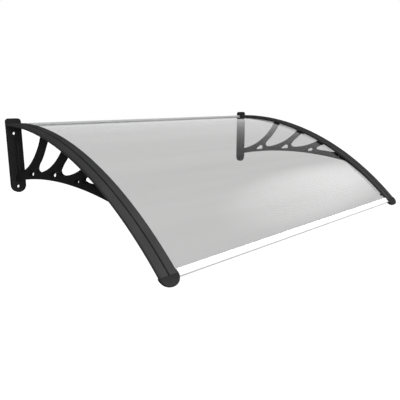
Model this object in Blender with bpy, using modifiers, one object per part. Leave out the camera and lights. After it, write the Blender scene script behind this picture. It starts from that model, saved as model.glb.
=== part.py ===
"""Curved door canopy: clear sheet on two wall brackets, with edge bars and press strips.

Metres, +Z up.  The wall is the plane Y = 0 and the canopy reaches out towards -Y.
The origin is the centre of the seal's flat back, on the wall.  Left is -X.
"""
import math

import bmesh
import bpy
from mathutils import Matrix, Vector

# Overall layout
SPAN = 1.117                # between the centre planes of the two brackets
ARC_RADIUS = 1.058          # top face of the press strips
CROWN_OUT = 0.0363          # highest point of the arc, in front of the wall
CROWN_UP = 0.009            # top of the press strips at the crown
FIT = 0.0003                # clearance between pieces that touch
ARC_STEP = math.radians(1.3)
SHADE_ANGLE = math.radians(32)

# Wall plate of the bracket
PLATE_WIDTH = 0.047
PLATE_TOP = 0.024
PLATE_HEIGHT = 0.240
PLATE_THICK = 0.012
PLATE_CORNER = 0.0105
PLATE_EDGE = 0.0012
UPPER_HOLE_DOWN = 0.048     # below the top of the plate
LOWER_HOLE_DOWN = 0.221
HOLE_RADIUS = 0.005
UPPER_DISH_RADIUS = 0.012
LOWER_DISH_RADIUS = 0.008
DISH_DEPTH = 0.0035
HOLE_SIDES = 28

# Stiffener on the front of the plate
STIFF_THICK = 0.006
STIFF_DEPTH = 0.016
STIFF_FILLET = 0.010
STIFF_TOP_DOWN = 0.062
STIFF_SLOPE = 0.8           # drop of its upper end for each unit of depth

# Arched rim and web of the bracket
WEB_THICK = 0.016
RIM_OUTER = 0.020           # outer edge of the rim, from the centre plane
RIM_LIP = 0.001             # thickness of that edge
LEDGE_INNER = 0.014         # inner edge of the ledge, from the centre plane
LEDGE_THICK = 0.002
SPINE_DEPTH = 0.0138        # underside of the plain arch where it meets the nose
SPINE_TAPER = 0.0275        # how much deeper it is for each radian towards the wall
STRUT_RADIUS = 1.513        # underside of the strut
STRUT_CREST_OUT = 0.337
STRUT_CREST_DOWN = 0.1435   # below the wall line
STRUT_STEP = 0.012

# Press strip and its gasket
STRIP_WIDTH = 0.0493
STRIP_HEIGHT = 0.008
STRIP_CORNER = 0.0013
STRIP_END = 0.0033          # past the shoulder of the nose
GROOVE_WIDTH = 0.0035
GROOVE_DEPTH = 0.0020
GASKET_WIDTH = 0.004
GASKET_THICK = 0.0014
GASKET_OFFSET = 0.020       # from the centre of the strip
GASKET_SIDE_FIT = 0.0002

# Clear sheet
SHEET_THICK = 0.003
SHEET_INSET = 0.005         # edge of the sheet, from the centre plane of the bracket
SHEET_FRONT = 0.002         # past the shoulder of the nose

# Rounded nose of the bracket
NOSE_ANGLE = math.radians(43.9)
NOSE_RADIUS = 0.0275        # at its widest, just below the top of the press strip
NOSE_CENTRE = 0.0022        # centre of its rounding, past the shoulder
NOSE_RISE = 0.0030          # above the top of the press strip
NOSE_DEPTH = 0.0140         # below the top of the press strip
NOSE_FLAT = 0.014           # radius of the top before it slopes away
NOSE_SHOULDER = 0.0030      # rounding of its two back corners
NOSE_SIDES = 24

# Outline of the nose outside the flat top, as shares of the slope's width and of its height
NOSE_SHAPE = ((0.75, 0.05), (0.93, 0.13), (0.99, 0.23), (1.00, 0.35), (0.96, 0.50),
              (0.88, 0.68), (0.78, 0.84), (0.65, 0.95), (0.48, 1.00))

# Screws
SCREW_OFFSET = 0.0135       # from the centre of the strip
SCREW_RADIUS = 0.0018
SCREW_HEAD_RADIUS = 0.0033
SCREW_HEAD_THICK = 0.0028
SCREW_REACH = 0.0027        # strip material left above the tip
SCREW_ANGLES = (1.2, 10.3, 18.8, 29.5, 42.3)
SCREW_BOSS_RADIUS = 0.0045
SCREW_BOSS_DEPTH = 0.0160   # below the top of the press strip
SCREW_HOLE_FIT = 0.0003
SHEET_HOLE_RADIUS = 0.0026
SCREW_SIDES = 20
HEAD_SHAPE = ((0.0, 1.0), (0.6, 1.0), (0.9, 0.8), (1.0, 0.45), (1.0, 0.0))
BAR_SCREW_BITE = 0.012
BAR_SCREW_SINK = 0.010      # depth of the counterbore

# Front bar, measured in the plane of the nose
BAR_BACK = 0.0075           # behind the shoulder of the nose
BAR_FRONT = 0.0110
BAR_TOP = 0.0017            # below the top of the press strips
BAR_BOTTOM = 0.0139
BAR_CORNER = 0.0009
BAR_LINE_AT = 0.0018
BAR_LINE_WIDTH = 0.0008
BAR_LINE_DEPTH = 0.0004
BAR_PORT_AT = 0.0078
BAR_PORT_DOWN = 0.0080
BAR_WALL = 0.0017

# Rear bar and wall seal
REAR_DEPTH = 0.0200
REAR_TOP = 0.0077
REAR_BOTTOM = 0.0052
REAR_WALL = 0.0018
SEAL_THICK = 0.0030
SEAL_HEIGHT = 0.0100
SEAL_CORNER = 0.0008
SEAL_FOOT_DEPTH = 0.0040
SEAL_FOOT_HEIGHT = 0.0038
SEAL_FIT = 0.0002

# Values that follow from the ones above
BRACKET_X = SPAN / 2
ARC_CENTRE = Vector((0.0, -CROWN_OUT, CROWN_UP - ARC_RADIUS))
STRIP_HALF = STRIP_WIDTH / 2
RIM_TOP = STRIP_HEIGHT + 2 * FIT
SHEET_TOP = STRIP_HEIGHT + FIT
SHEET_BOTTOM = SHEET_TOP + SHEET_THICK
LEDGE_TOP = SHEET_BOTTOM + FIT
RIM_BOTTOM = LEDGE_TOP + LEDGE_THICK
SHOULDER = SHEET_INSET - FIT
PLATE_FACE = -PLATE_THICK


def arc_angle(y, down=0.0):
    """Angle from the crown of the point at depth y on the arc lying `down` below the strips."""
    return math.asin((ARC_CENTRE.y - y) / (ARC_RADIUS - down))


def arc_point(angle, down):
    """Point (y, z) at an angle from the crown, `down` below the top of the strips."""
    reach = ARC_RADIUS - down
    return (ARC_CENTRE.y - reach * math.sin(angle), ARC_CENTRE.z + reach * math.cos(angle))


def nose_point(along, down):
    """Point (y, z) in the plane of the nose: `along` the slope from its shoulder, `down` into it."""
    y, z = arc_point(NOSE_ANGLE, down)
    return (y - along * math.cos(NOSE_ANGLE), z - along * math.sin(NOSE_ANGLE))


# Planes the outlines are drawn in: columns are the world directions of the two outline axes
# and of the extrusion
SIDE_PLANE = Matrix(((0, 0, 1, 0), (1, 0, 0, 0), (0, 1, 0, 0), (0, 0, 0, 1)))
WALL_PLANE = Matrix(((1, 0, 0, 0), (0, 0, -1, 0), (0, 1, 0, 0), (0, 0, 0, 1)))
FLOOR_PLANE = Matrix.Identity(4)


def clear_scene():
    """Remove every object of the start-up scene."""
    for obj in list(bpy.data.objects):
        bpy.data.objects.remove(obj, do_unlink=True)


def new_material(name, colour, roughness, metallic=0.0, transmission=0.0):
    """One Principled BSDF material."""
    mat = bpy.data.materials.new(name)
    mat.use_nodes = True
    shader = mat.node_tree.nodes["Principled BSDF"]
    shader.inputs["Base Color"].default_value = (*colour, 1.0)
    shader.inputs["Roughness"].default_value = roughness
    shader.inputs["Metallic"].default_value = metallic
    shader.inputs["Transmission Weight"].default_value = transmission
    return mat


def add_object(name, mesh):
    """Link a mesh to the canopy's collection as a named object."""
    obj = bpy.data.objects.new(name, mesh)
    CANOPY.objects.link(obj)
    return obj


def bake(obj):
    """Replace an object by the mesh its curve or modifiers give, in world axes."""
    bpy.context.view_layer.update()
    evaluated = obj.evaluated_get(bpy.context.evaluated_depsgraph_get())
    mesh = bpy.data.meshes.new_from_object(evaluated)
    mesh.transform(obj.matrix_world)
    name = obj.name
    bpy.data.objects.remove(obj, do_unlink=True)
    shape = bmesh.new()
    shape.from_mesh(mesh)
    bmesh.ops.remove_doubles(shape, verts=shape.verts, dist=0.000001)
    bmesh.ops.recalc_face_normals(shape, faces=shape.faces)
    shape.to_mesh(mesh)
    shape.free()
    return add_object(name, mesh)


def add_spline(curve, points, smooth):
    """Closed outline; smooth[i] tells whether the curve runs evenly through point i."""
    spline = curve.splines.new('BEZIER')
    spline.bezier_points.add(len(points) - 1)
    for knot, place, even in zip(spline.bezier_points, points, smooth):
        knot.co = (*place, 0.0)
        knot.handle_left_type = 'AUTO' if even else 'VECTOR'
        knot.handle_right_type = 'AUTO' if even else 'VECTOR'
    spline.use_cyclic_u = True


def extrude(name, outlines, plane, low, high, resolution=1):
    """Solid between `low` and `high` with one or more closed outlines in a plane."""
    curve = bpy.data.curves.new(name, 'CURVE')
    curve.dimensions = '2D'
    curve.fill_mode = 'BOTH'
    curve.resolution_u = resolution
    curve.extrude = (high - low) / 2
    for points, smooth in outlines:
        add_spline(curve, points, smooth)
    obj = add_object(name, curve)
    obj.matrix_world = plane @ Matrix.Translation((0, 0, (low + high) / 2))
    return bake(obj)


def straight(points):
    """Outline with straight sides only."""
    return (points, [False] * len(points))


def rounded(corners, steps=3):
    """Outline from (a, b, radius) corners, each corner replaced by an arc of that radius."""
    points = []
    for index, (a, b, radius) in enumerate(corners):
        here = Vector((a, b))
        before = Vector(corners[index - 1][:2]) - here
        after = Vector(corners[(index + 1) % len(corners)][:2]) - here
        if radius == 0:
            points.append(tuple(here))
            continue
        half = before.angle(after) / 2
        middle = (before.normalized() + after.normalized()).normalized()
        centre = here + middle * radius / math.sin(half)
        first = here + before.normalized() * radius / math.tan(half) - centre
        last = here + after.normalized() * radius / math.tan(half) - centre
        turn = first.angle_signed(last)
        for step in range(steps + 1):
            spoke = first.copy()
            spoke.rotate(Matrix.Rotation(-turn * step / steps, 2))
            points.append(tuple(centre + spoke))
    return straight(points)


def sweep(name, section, start, end):
    """Solid swept along the arc from a section of (across, down) points."""
    shape = bmesh.new()
    corners = []
    for across, down in section:
        y, z = arc_point(start, down)
        corners.append(shape.verts.new((across, y, z)))
    face = shape.faces.new(corners)
    steps = math.ceil((end - start) / ARC_STEP)
    bmesh.ops.spin(shape, geom=[face], cent=ARC_CENTRE, axis=(1, 0, 0), angle=end - start,
                   steps=steps, use_duplicate=False)
    bmesh.ops.recalc_face_normals(shape, faces=shape.faces)
    mesh = bpy.data.meshes.new(name)
    shape.to_mesh(mesh)
    shape.free()
    return add_object(name, mesh)


def lathe(name, profile, sides, place):
    """Solid turned about its own Z axis from (radius, height) points, then placed."""
    shape = bmesh.new()
    knots = [shape.verts.new((radius, 0.0, height)) for radius, height in profile]
    edges = [shape.edges.new(pair) for pair in zip(knots, knots[1:])]
    bmesh.ops.spin(shape, geom=knots + edges, cent=(0, 0, 0), axis=(0, 0, 1),
                   angle=math.tau, steps=sides, use_duplicate=False)
    bmesh.ops.remove_doubles(shape, verts=shape.verts, dist=0.00001)
    bmesh.ops.recalc_face_normals(shape, faces=shape.faces)
    mesh = bpy.data.meshes.new(name)
    shape.to_mesh(mesh)
    shape.free()
    mesh.transform(place)
    return add_object(name, mesh)


def pin(radius, low, high, place, sides=SCREW_SIDES):
    """Plain cylinder used to cut a hole."""
    return lathe("pin", [(0, low), (radius, low), (radius, high), (0, high)], sides, place)


def box(name, low, high, place):
    """Plain block between two corners of a local frame."""
    outline = straight([(low[0], low[1]), (high[0], low[1]), (high[0], high[1]), (low[0], high[1])])
    block = extrude(name, [outline], FLOOR_PLANE, low[2], high[2])
    block.data.transform(place)
    return block


def combine(target, others, operation):
    """Boolean of a solid with others, which are used up."""
    for other in others:
        step = target.modifiers.new(operation, 'BOOLEAN')
        step.operation = operation
        step.solver = 'EXACT'
        step.object = other
        target = bake(target)
        bpy.data.objects.remove(other, do_unlink=True)
    return target


def finish(obj, name, material):
    """Name a finished piece, give it its material and shade its round faces smooth."""
    obj.name = name
    obj.data.name = name
    obj.data.materials.clear()
    obj.data.materials.append(material)
    obj.data.shade_smooth()
    obj.data.set_sharp_from_angle(angle=SHADE_ANGLE)
    return obj


def mirrored(obj, name, material):
    """The same piece for the right-hand side."""
    shape = bmesh.new()
    shape.from_mesh(obj.data)
    bmesh.ops.scale(shape, vec=(-1, 1, 1), verts=shape.verts)
    bmesh.ops.reverse_faces(shape, faces=shape.faces)
    mesh = bpy.data.meshes.new(name)
    shape.to_mesh(mesh)
    shape.free()
    return finish(add_object(name, mesh), name, material)


def across(offset):
    """World X of a point `offset` inwards from the centre plane of the left bracket."""
    return -BRACKET_X + offset


def arc_frame(angle, offset):
    """Frame on the left bracket's arc: X across, Z outwards from the arc, origin at strip top."""
    y, z = arc_point(angle, 0.0)
    return Matrix.Translation((across(offset), y, z)) @ Matrix.Rotation(angle, 4, 'X')


def wall_plate():
    """Flat plate with rounded ends, two dished screw holes and softened front edges."""
    half = PLATE_WIDTH / 2
    bottom = PLATE_TOP - PLATE_HEIGHT
    foot = half - FIT
    outline = rounded([
        (across(-half), PLATE_TOP, PLATE_CORNER), (across(-half), bottom, foot),
        (across(half), bottom, foot), (across(half), PLATE_TOP, PLATE_CORNER)], steps=8)
    plate = extrude("plate", [outline], WALL_PLANE, 0.0, PLATE_THICK)
    edges = plate.modifiers.new("edges", 'BEVEL')
    edges.width = PLATE_EDGE
    edges.segments = 2
    edges.limit_method = 'ANGLE'
    edges.angle_limit = math.radians(60)
    plate = bake(plate)
    holes = []
    for down, dish in ((UPPER_HOLE_DOWN, UPPER_DISH_RADIUS), (LOWER_HOLE_DOWN, LOWER_DISH_RADIUS)):
        place = (Matrix.Translation((across(0), PLATE_FACE, PLATE_TOP - down))
                 @ Matrix.Rotation(math.pi / 2, 4, 'X'))
        holes.append(lathe("hole", [
            (0, -2 * PLATE_THICK), (HOLE_RADIUS, -2 * PLATE_THICK), (HOLE_RADIUS, -DISH_DEPTH),
            (dish, 0), (dish, DISH_DEPTH), (0, DISH_DEPTH)], HOLE_SIDES, place))
    return combine(plate, holes, 'DIFFERENCE')


def stiffener():
    """Upright rib on the front of the plate, blended into it by two hollow fillets."""
    side = STIFF_THICK / 2
    face = PLATE_FACE + FIT
    right = []
    for step in range(6):
        turn = math.radians(90) * step / 5
        right.append((side + STIFF_FILLET * (1 - math.sin(turn)),
                      face - STIFF_FILLET * (1 - math.cos(turn))))
    right.append((side, PLATE_FACE - STIFF_DEPTH))
    left = [(-x, y) for x, y in reversed(right)]
    root = [(left[-1][0], face + PLATE_THICK / 2), (right[0][0], face + PLATE_THICK / 2)]
    outline = straight([(across(x), y) for x, y in right + left + root])
    top = PLATE_TOP - STIFF_TOP_DOWN
    rib = extrude("rib", [outline], FLOOR_PLANE, strut_underside(PLATE_FACE) + WEB_THICK, top)
    for vertex in rib.data.vertices:
        if vertex.co.z > top - FIT:
            vertex.co.z -= STIFF_SLOPE * (PLATE_FACE - vertex.co.y)
    return rib


def strut_underside(y):
    """Height of the strut's arched underside."""
    off = y + STRUT_CREST_OUT
    return -STRUT_CREST_DOWN - STRUT_RADIUS + math.sqrt(STRUT_RADIUS ** 2 - off ** 2)


def spine_underside(y):
    """Height of the underside of the plain arch between strut and nose."""
    depth = SPINE_DEPTH + SPINE_TAPER * max(0.0, NOSE_ANGLE - arc_angle(y, SPINE_DEPTH))
    return arc_point(arc_angle(y, depth), depth)[1]


def web():
    """Flat web: strut, curved ribs and the openings between them."""
    hidden = (LEDGE_TOP + RIM_BOTTOM) / 2
    wall_side = PLATE_FACE / 2
    nose_side = NOSE_ANGLE + SHEET_INSET / ARC_RADIUS
    first = arc_angle(wall_side, hidden)
    steps = math.ceil((nose_side - first) / ARC_STEP)
    top = [arc_point(first + (nose_side - first) * i / steps, hidden) for i in range(steps + 1)]
    reach = arc_point(nose_side, SPINE_DEPTH)[0] - wall_side
    count = math.ceil(-reach / STRUT_STEP)
    low = []
    for index in range(count + 1):
        y = wall_side + reach * (count - index) / count
        low.append((y, min(spine_underside(y), strut_underside(y))))
    body = extrude("web", [straight(top + low)], SIDE_PLANE,
                   across(-WEB_THICK / 2), across(WEB_THICK / 2))
    cutters = []
    for corners, knots in OPENINGS:
        points = [(-out, up) for out, up in knots + corners]
        smooth = [True] * len(knots) + [False] * len(corners)
        cutters.append(extrude("opening", [(points, smooth)], SIDE_PLANE,
                               across(-WEB_THICK), across(WEB_THICK), resolution=5))
    for out, up, width, height in STRUT_HOLES:
        points = [(-out - a * width, up + b * height) for a, b in STRUT_HOLE_SHAPE]
        cutters.append(extrude("opening", [(points, [True] * len(points))], SIDE_PLANE,
                               across(-WEB_THICK), across(WEB_THICK), resolution=4))
    return combine(body, cutters, 'DIFFERENCE')


# Openings of the web as (out from the wall, up): sharp corners hidden in the rim or the plate,
# then the points the visible edge runs through
OPENINGS = (
    ([(0.002, 0.012), (0.228, 0.012)],
     [(0.224, 0.002), (0.210, -0.024), (0.193, -0.050), (0.174, -0.0715), (0.141, -0.101),
      (0.096, -0.1285), (0.040, -0.149), (0.002, -0.158)]),
    ([(0.352, 0.000), (0.256, 0.000)],
     [(0.250, -0.007), (0.232, -0.029), (0.205, -0.066), (0.183, -0.092), (0.159, -0.116),
      (0.1565, -0.1245), (0.164, -0.131), (0.186, -0.1305), (0.212, -0.1245), (0.255, -0.109),
      (0.297, -0.0845), (0.333, -0.0545), (0.354, -0.032)]),
    ([(0.470, -0.040), (0.390, -0.020)],
     [(0.382, -0.038), (0.357, -0.0605), (0.305, -0.1065), (0.3005, -0.1155), (0.308, -0.1225),
      (0.345, -0.1205), (0.372, -0.1155), (0.405, -0.1055), (0.440, -0.0905), (0.468, -0.077)]),
    ([(0.540, -0.090), (0.505, -0.070)],
     [(0.490, -0.0905), (0.461, -0.106), (0.436, -0.1175), (0.4305, -0.124), (0.439, -0.1275),
      (0.475, -0.1295), (0.512, -0.1325), (0.527, -0.1305), (0.535, -0.120)]),
)
STRUT_HOLE_SHAPE = ((-0.50, -0.46), (-0.34, -0.10), (-0.02, 0.36), (0.28, 0.49), (0.47, 0.30),
                    (0.48, -0.10), (0.25, -0.34), (-0.16, -0.45))
STRUT_HOLES = (
    (0.1265, -0.1385, 0.046, 0.0225),
    (0.2715, -0.1255, 0.044, 0.0200),
    (0.4040, -0.1285, 0.032, 0.0145),
)


def rim():
    """Arched top flange with the ledge that carries the sheet."""
    web_side = -WEB_THICK / 2
    section = [(across(a), d) for a, d in (
        (-RIM_OUTER, RIM_TOP), (SHOULDER, RIM_TOP), (SHOULDER, LEDGE_TOP),
        (LEDGE_INNER, LEDGE_TOP), (LEDGE_INNER, RIM_BOTTOM), (web_side, RIM_BOTTOM),
        (-RIM_OUTER, RIM_TOP + RIM_LIP))]
    return sweep("rim", section, arc_angle(PLATE_FACE / 2, RIM_TOP),
                 NOSE_ANGLE + SCREW_HEAD_RADIUS / ARC_RADIUS)


def screw_bosses():
    """Round thickenings of the ledge around the strip screws."""
    bosses = []
    for frame in strip_screw_frames():
        bosses.append(pin(SCREW_BOSS_RADIUS, -SCREW_BOSS_DEPTH, -LEDGE_TOP - FIT / 3, frame))
    return bosses


def nose():
    """Half-round end block with pockets for the strip and the sheet."""
    slope = NOSE_RADIUS - NOSE_FLAT
    profile = [(0, NOSE_RISE), (NOSE_FLAT, NOSE_RISE)]
    for out, fall in NOSE_SHAPE:
        profile.append((NOSE_FLAT + out * slope, NOSE_RISE - fall * (NOSE_RISE + NOSE_DEPTH)))
    profile.append((0, -NOSE_DEPTH))
    place = arc_frame(NOSE_ANGLE, 0)
    disc = lathe("nose", profile, 2 * NOSE_SIDES, place @ Matrix.Translation((0, -NOSE_CENTRE, 0)))
    wide = 2 * NOSE_RADIUS
    corner = NOSE_RADIUS - NOSE_SHOULDER
    behind = [(-wide, wide), (-wide, -NOSE_SHOULDER)]
    for step in range(5):
        turn = math.radians(90) * step / 4
        behind.append((-corner - NOSE_SHOULDER * math.cos(turn),
                       NOSE_SHOULDER * (math.sin(turn) - 1)))
    behind += [(-x, y) for x, y in reversed(behind)]
    back = extrude("behind", [straight(behind)], FLOOR_PLANE, -wide, wide)
    back.data.transform(place)
    seam = -STRIP_END - FIT
    crest = NOSE_CENTRE + NOSE_FLAT
    ramp = math.atan2(NOSE_RISE, crest + seam)
    ramp_place = place @ Matrix.Translation((0, seam, 0)) @ Matrix.Rotation(-ramp, 4, 'X')
    top = box("top", (-wide, -wide, FIT), (wide, wide, wide), ramp_place)
    strip_pocket = box("pocket", (-STRIP_HALF - FIT, seam, -RIM_TOP - FIT / 3),
                       (STRIP_HALF + FIT, NOSE_FLAT / 4, wide), place)
    sheet_pocket = box("pocket", (SHOULDER - FIT / 3, -SHEET_FRONT - FIT, -LEDGE_TOP - FIT / 3),
                       (wide, NOSE_FLAT / 3, -STRIP_HEIGHT), place)
    return combine(disc, [back, top, strip_pocket, sheet_pocket], 'DIFFERENCE')


def strip_screw_frames():
    """Frames of the screws that hold one press strip."""
    return [arc_frame(math.radians(angle), SCREW_OFFSET) for angle in SCREW_ANGLES]


def bar_screw_frame():
    """Frame of the screw through the nose: Z points inwards, origin on the centre plane."""
    y, z = nose_point(BAR_PORT_AT, BAR_PORT_DOWN)
    return Matrix.Translation((across(0), y, z)) @ Matrix.Rotation(math.pi / 2, 4, 'Y')


def bracket():
    """One moulding: wall plate, stiffener, web, arched rim and nose."""
    body = combine(wall_plate(), [stiffener(), web(), rim(), nose(), *screw_bosses()], 'UNION')
    cutters = []
    hole = SCREW_RADIUS + SCREW_HOLE_FIT
    for frame in strip_screw_frames():
        cutters.append(pin(hole, -2 * RIM_BOTTOM, -STRIP_HEIGHT, frame))
    outside = -nose_half_width()
    seat = outside + BAR_SCREW_SINK
    cutters.append(pin(hole, seat - BAR_SCREW_SINK / 2, 2 * NOSE_RADIUS, bar_screw_frame()))
    cutters.append(pin(SCREW_HEAD_RADIUS + SCREW_HOLE_FIT, 2 * outside, seat, bar_screw_frame()))
    return combine(body, cutters, 'DIFFERENCE')


def nose_half_width():
    """Half the nose's greatest width in line with the bar screw."""
    return math.sqrt(NOSE_RADIUS ** 2 - (BAR_PORT_AT - NOSE_CENTRE) ** 2)


def press_strip():
    """Strip that clamps the sheet, with a centre groove and a channel for the gasket."""
    groove = GROOVE_WIDTH / 2
    channel = GASKET_WIDTH / 2 + GASKET_SIDE_FIT
    ceiling = SHEET_TOP - FIT / 2 - GASKET_THICK - GASKET_SIDE_FIT
    points = rounded([
        (-STRIP_HALF, STRIP_HEIGHT, 0), (GASKET_OFFSET - channel, STRIP_HEIGHT, 0),
        (GASKET_OFFSET - channel, ceiling, 0), (GASKET_OFFSET + channel, ceiling, 0),
        (GASKET_OFFSET + channel, STRIP_HEIGHT, 0), (STRIP_HALF, STRIP_HEIGHT, 0),
        (STRIP_HALF, 0, STRIP_CORNER), (groove, 0, 0), (groove / 2, GROOVE_DEPTH, 0),
        (-groove / 2, GROOVE_DEPTH, 0), (-groove, 0, 0), (-STRIP_HALF, 0, STRIP_CORNER)])[0]
    section = [(across(a), d) for a, d in points]
    strip = sweep("strip", section, arc_angle(PLATE_FACE - FIT),
                  NOSE_ANGLE + STRIP_END / ARC_RADIUS)
    hole = SCREW_RADIUS + SCREW_HOLE_FIT
    cutters = []
    for frame in strip_screw_frames():
        cutters.append(pin(hole, -2 * RIM_BOTTOM, FIT - SCREW_REACH, frame))
    return combine(strip, cutters, 'DIFFERENCE')


def gasket():
    """Soft strip in the press strip's channel, lying on the sheet."""
    half = GASKET_WIDTH / 2
    low = SHEET_TOP - FIT / 2
    corners = [(a, d, GASKET_SIDE_FIT) for a, d in (
        (-half, low), (half, low), (half, low - GASKET_THICK), (-half, low - GASKET_THICK))]
    section = [(across(GASKET_OFFSET + a), d) for a, d in rounded(corners, steps=1)[0]]
    return sweep("gasket", section, arc_angle(PLATE_FACE - FIT),
                 NOSE_ANGLE + (STRIP_END - FIT) / ARC_RADIUS)


def screw(name, seat, tip, frame):
    """Pan-head screw along a frame's Z, its head below the seat."""
    profile = [(share * SCREW_HEAD_RADIUS, seat - rise * SCREW_HEAD_THICK)
               for share, rise in HEAD_SHAPE]
    profile += [(SCREW_RADIUS, seat), (SCREW_RADIUS, tip - SCREW_RADIUS / 2),
                (SCREW_RADIUS / 2, tip), (0, tip)]
    return lathe(name, profile, SCREW_SIDES, frame)


def strip_screw(frame):
    """Pan-head screw from below, through ledge and sheet into the press strip."""
    return screw("screw", -SCREW_BOSS_DEPTH - FIT, -SCREW_REACH - FIT, frame)


def bar_screw():
    """Long screw through the nose into the end of the front bar."""
    seat = BAR_SCREW_SINK - nose_half_width() - FIT
    tip = BRACKET_X - bar_half_length() + BAR_SCREW_BITE
    return screw("bar_screw", seat, tip, bar_screw_frame())


def bar_half_length():
    """The front bar stops just short of the two noses."""
    return BRACKET_X - NOSE_RADIUS - FIT


def rear_half_length():
    """The rear bar stops just short of the two press strips."""
    return BRACKET_X - STRIP_HALF - FIT


def clear_sheet():
    """Curved sheet between the two brackets, drilled for the strip screws."""
    edge = BRACKET_X - SHEET_INSET
    section = [(-edge, SHEET_TOP), (edge, SHEET_TOP), (edge, SHEET_BOTTOM), (-edge, SHEET_BOTTOM)]
    sheet = sweep("sheet", section, arc_angle(PLATE_FACE - FIT, SHEET_TOP),
                  NOSE_ANGLE + SHEET_FRONT / ARC_RADIUS)
    cutters = []
    for frame in strip_screw_frames():
        left = pin(SHEET_HOLE_RADIUS, -2 * SHEET_BOTTOM, 0.0, frame)
        right = left.copy()
        right.data = left.data.copy()
        CANOPY.objects.link(right)
        right.data.transform(Matrix.Diagonal((-1, 1, 1, 1)))
        right.data.flip_normals()
        cutters.extend((left, right))
    return combine(sheet, cutters, 'DIFFERENCE')


def front_bar():
    """Extruded edge bar with a slot for the sheet, a hollow chamber and a screw port."""
    slot_top = STRIP_HEIGHT
    slot_low = LEDGE_TOP + FIT / 2
    line = BAR_LINE_WIDTH / 2
    outline = [
        (-BAR_BACK, BAR_TOP, BAR_CORNER), (BAR_LINE_AT - line, BAR_TOP, 0),
        (BAR_LINE_AT, BAR_TOP + BAR_LINE_DEPTH, 0), (BAR_LINE_AT + line, BAR_TOP, 0),
        (BAR_FRONT, BAR_TOP, BAR_CORNER), (BAR_FRONT, BAR_BOTTOM, BAR_CORNER),
        (-BAR_BACK, BAR_BOTTOM, BAR_CORNER), (-BAR_BACK, slot_low, 0),
        (SHEET_FRONT + FIT, slot_low, 0), (SHEET_FRONT + FIT, slot_top, 0),
        (-BAR_BACK, slot_top, 0)]
    chamber = [
        (BAR_WALL - BAR_BACK, BAR_TOP + BAR_WALL), (SHEET_FRONT, BAR_TOP + BAR_WALL),
        (SHEET_FRONT, slot_top - BAR_WALL), (BAR_WALL - BAR_BACK, slot_top - BAR_WALL)]
    port = []
    for side in range(SCREW_SIDES):
        turn = math.tau * side / SCREW_SIDES
        radius = SCREW_RADIUS + SCREW_HOLE_FIT
        port.append((BAR_PORT_AT + radius * math.cos(turn), BAR_PORT_DOWN + radius * math.sin(turn)))
    outlines = []
    for points in (rounded(outline)[0], chamber, port):
        outlines.append(straight([nose_point(along, down) for along, down in points]))
    half = bar_half_length()
    return extrude("front", outlines, SIDE_PLANE, -half, half)


def rear_bar():
    """Extruded edge bar at the wall with a slot for the sheet and a groove for the seal."""
    back = -SEAL_THICK - SEAL_FIT
    end = PLATE_FACE
    slot_top = STRIP_HEIGHT
    slot_low = LEDGE_TOP + FIT / 2
    foot = SEAL_FOOT_HEIGHT / 2 + SEAL_FIT
    deep = -SEAL_THICK - SEAL_FOOT_DEPTH - SEAL_FIT
    slot = [arc_point(arc_angle(y, down), down) for y, down in (
        (-REAR_DEPTH, slot_top), (end, slot_top), (end, slot_low), (-REAR_DEPTH, slot_low))]
    corners = [(back, REAR_TOP, BAR_CORNER), (-REAR_DEPTH, REAR_TOP, BAR_CORNER)]
    corners += [(y, z, 0) for y, z in slot]
    corners += [(-REAR_DEPTH, -REAR_BOTTOM, BAR_CORNER), (back, -REAR_BOTTOM, BAR_CORNER),
                (back, -foot, 0), (deep, -foot, 0), (deep, foot, 0), (back, foot, 0)]
    roof = slot[1][1] + REAR_WALL
    chamber = [(-REAR_DEPTH + REAR_WALL, roof), (deep, roof),
               (deep, REAR_TOP - REAR_WALL), (-REAR_DEPTH + REAR_WALL, REAR_TOP - REAR_WALL)]
    half = rear_half_length()
    return extrude("rear", [rounded(corners), straight(chamber)], SIDE_PLANE, -half, half)


def wall_seal():
    """Soft strip between rear bar and wall, with a foot in the bar's groove."""
    high = SEAL_HEIGHT / 2
    foot = SEAL_FOOT_HEIGHT / 2
    deep = -SEAL_THICK - SEAL_FOOT_DEPTH
    corners = [
        (0, high, SEAL_CORNER), (-SEAL_THICK, high, SEAL_CORNER), (-SEAL_THICK, foot, 0),
        (deep, foot, 0), (deep, -foot, 0), (-SEAL_THICK, -foot, 0),
        (-SEAL_THICK, -high, SEAL_CORNER), (0, -high, SEAL_CORNER)]
    half = rear_half_length()
    return extrude("seal", [rounded(corners)], SIDE_PLANE, -half, half)


clear_scene()
CANOPY = bpy.data.collections.new("door_canopy")
bpy.context.scene.collection.children.link(CANOPY)

BLACK_PLASTIC = ((0.020, 0.020, 0.021), 0.45)
RUBBER = ((0.012, 0.012, 0.012), 0.80)
STEEL = ((0.55, 0.55, 0.56), 0.30, 1.0)
ALUMINIUM = ((0.80, 0.80, 0.81), 0.35, 1.0)
CLEAR = ((0.82, 0.83, 0.84), 0.05, 0.0, 1.0)

finish(clear_sheet(), "clear_sheet", new_material("clear_sheet", *CLEAR))
finish(front_bar(), "front_bar", new_material("front_bar", *ALUMINIUM))
finish(rear_bar(), "rear_bar", new_material("rear_bar", *ALUMINIUM))
finish(wall_seal(), "wall_seal", new_material("wall_seal", *RUBBER))

PAIRS = [
    ("bracket", bracket, BLACK_PLASTIC),
    ("press_strip", press_strip, BLACK_PLASTIC),
    ("strip_gasket", gasket, RUBBER),
    ("bar_screw", bar_screw, STEEL),
]
for kind, build, look in PAIRS:
    left_name = kind + "_left"
    right_name = kind + "_right"
    piece = finish(build(), left_name, new_material(left_name, *look))
    mirrored(piece, right_name, new_material(right_name, *look))

for number, frame in enumerate(strip_screw_frames(), start=1):
    left_name = f"strip_screw_left_{number}"
    right_name = f"strip_screw_right_{number}"
    piece = finish(strip_screw(frame), left_name, new_material(left_name, *STEEL))
    mirrored(piece, right_name, new_material(right_name, *STEEL))
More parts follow.
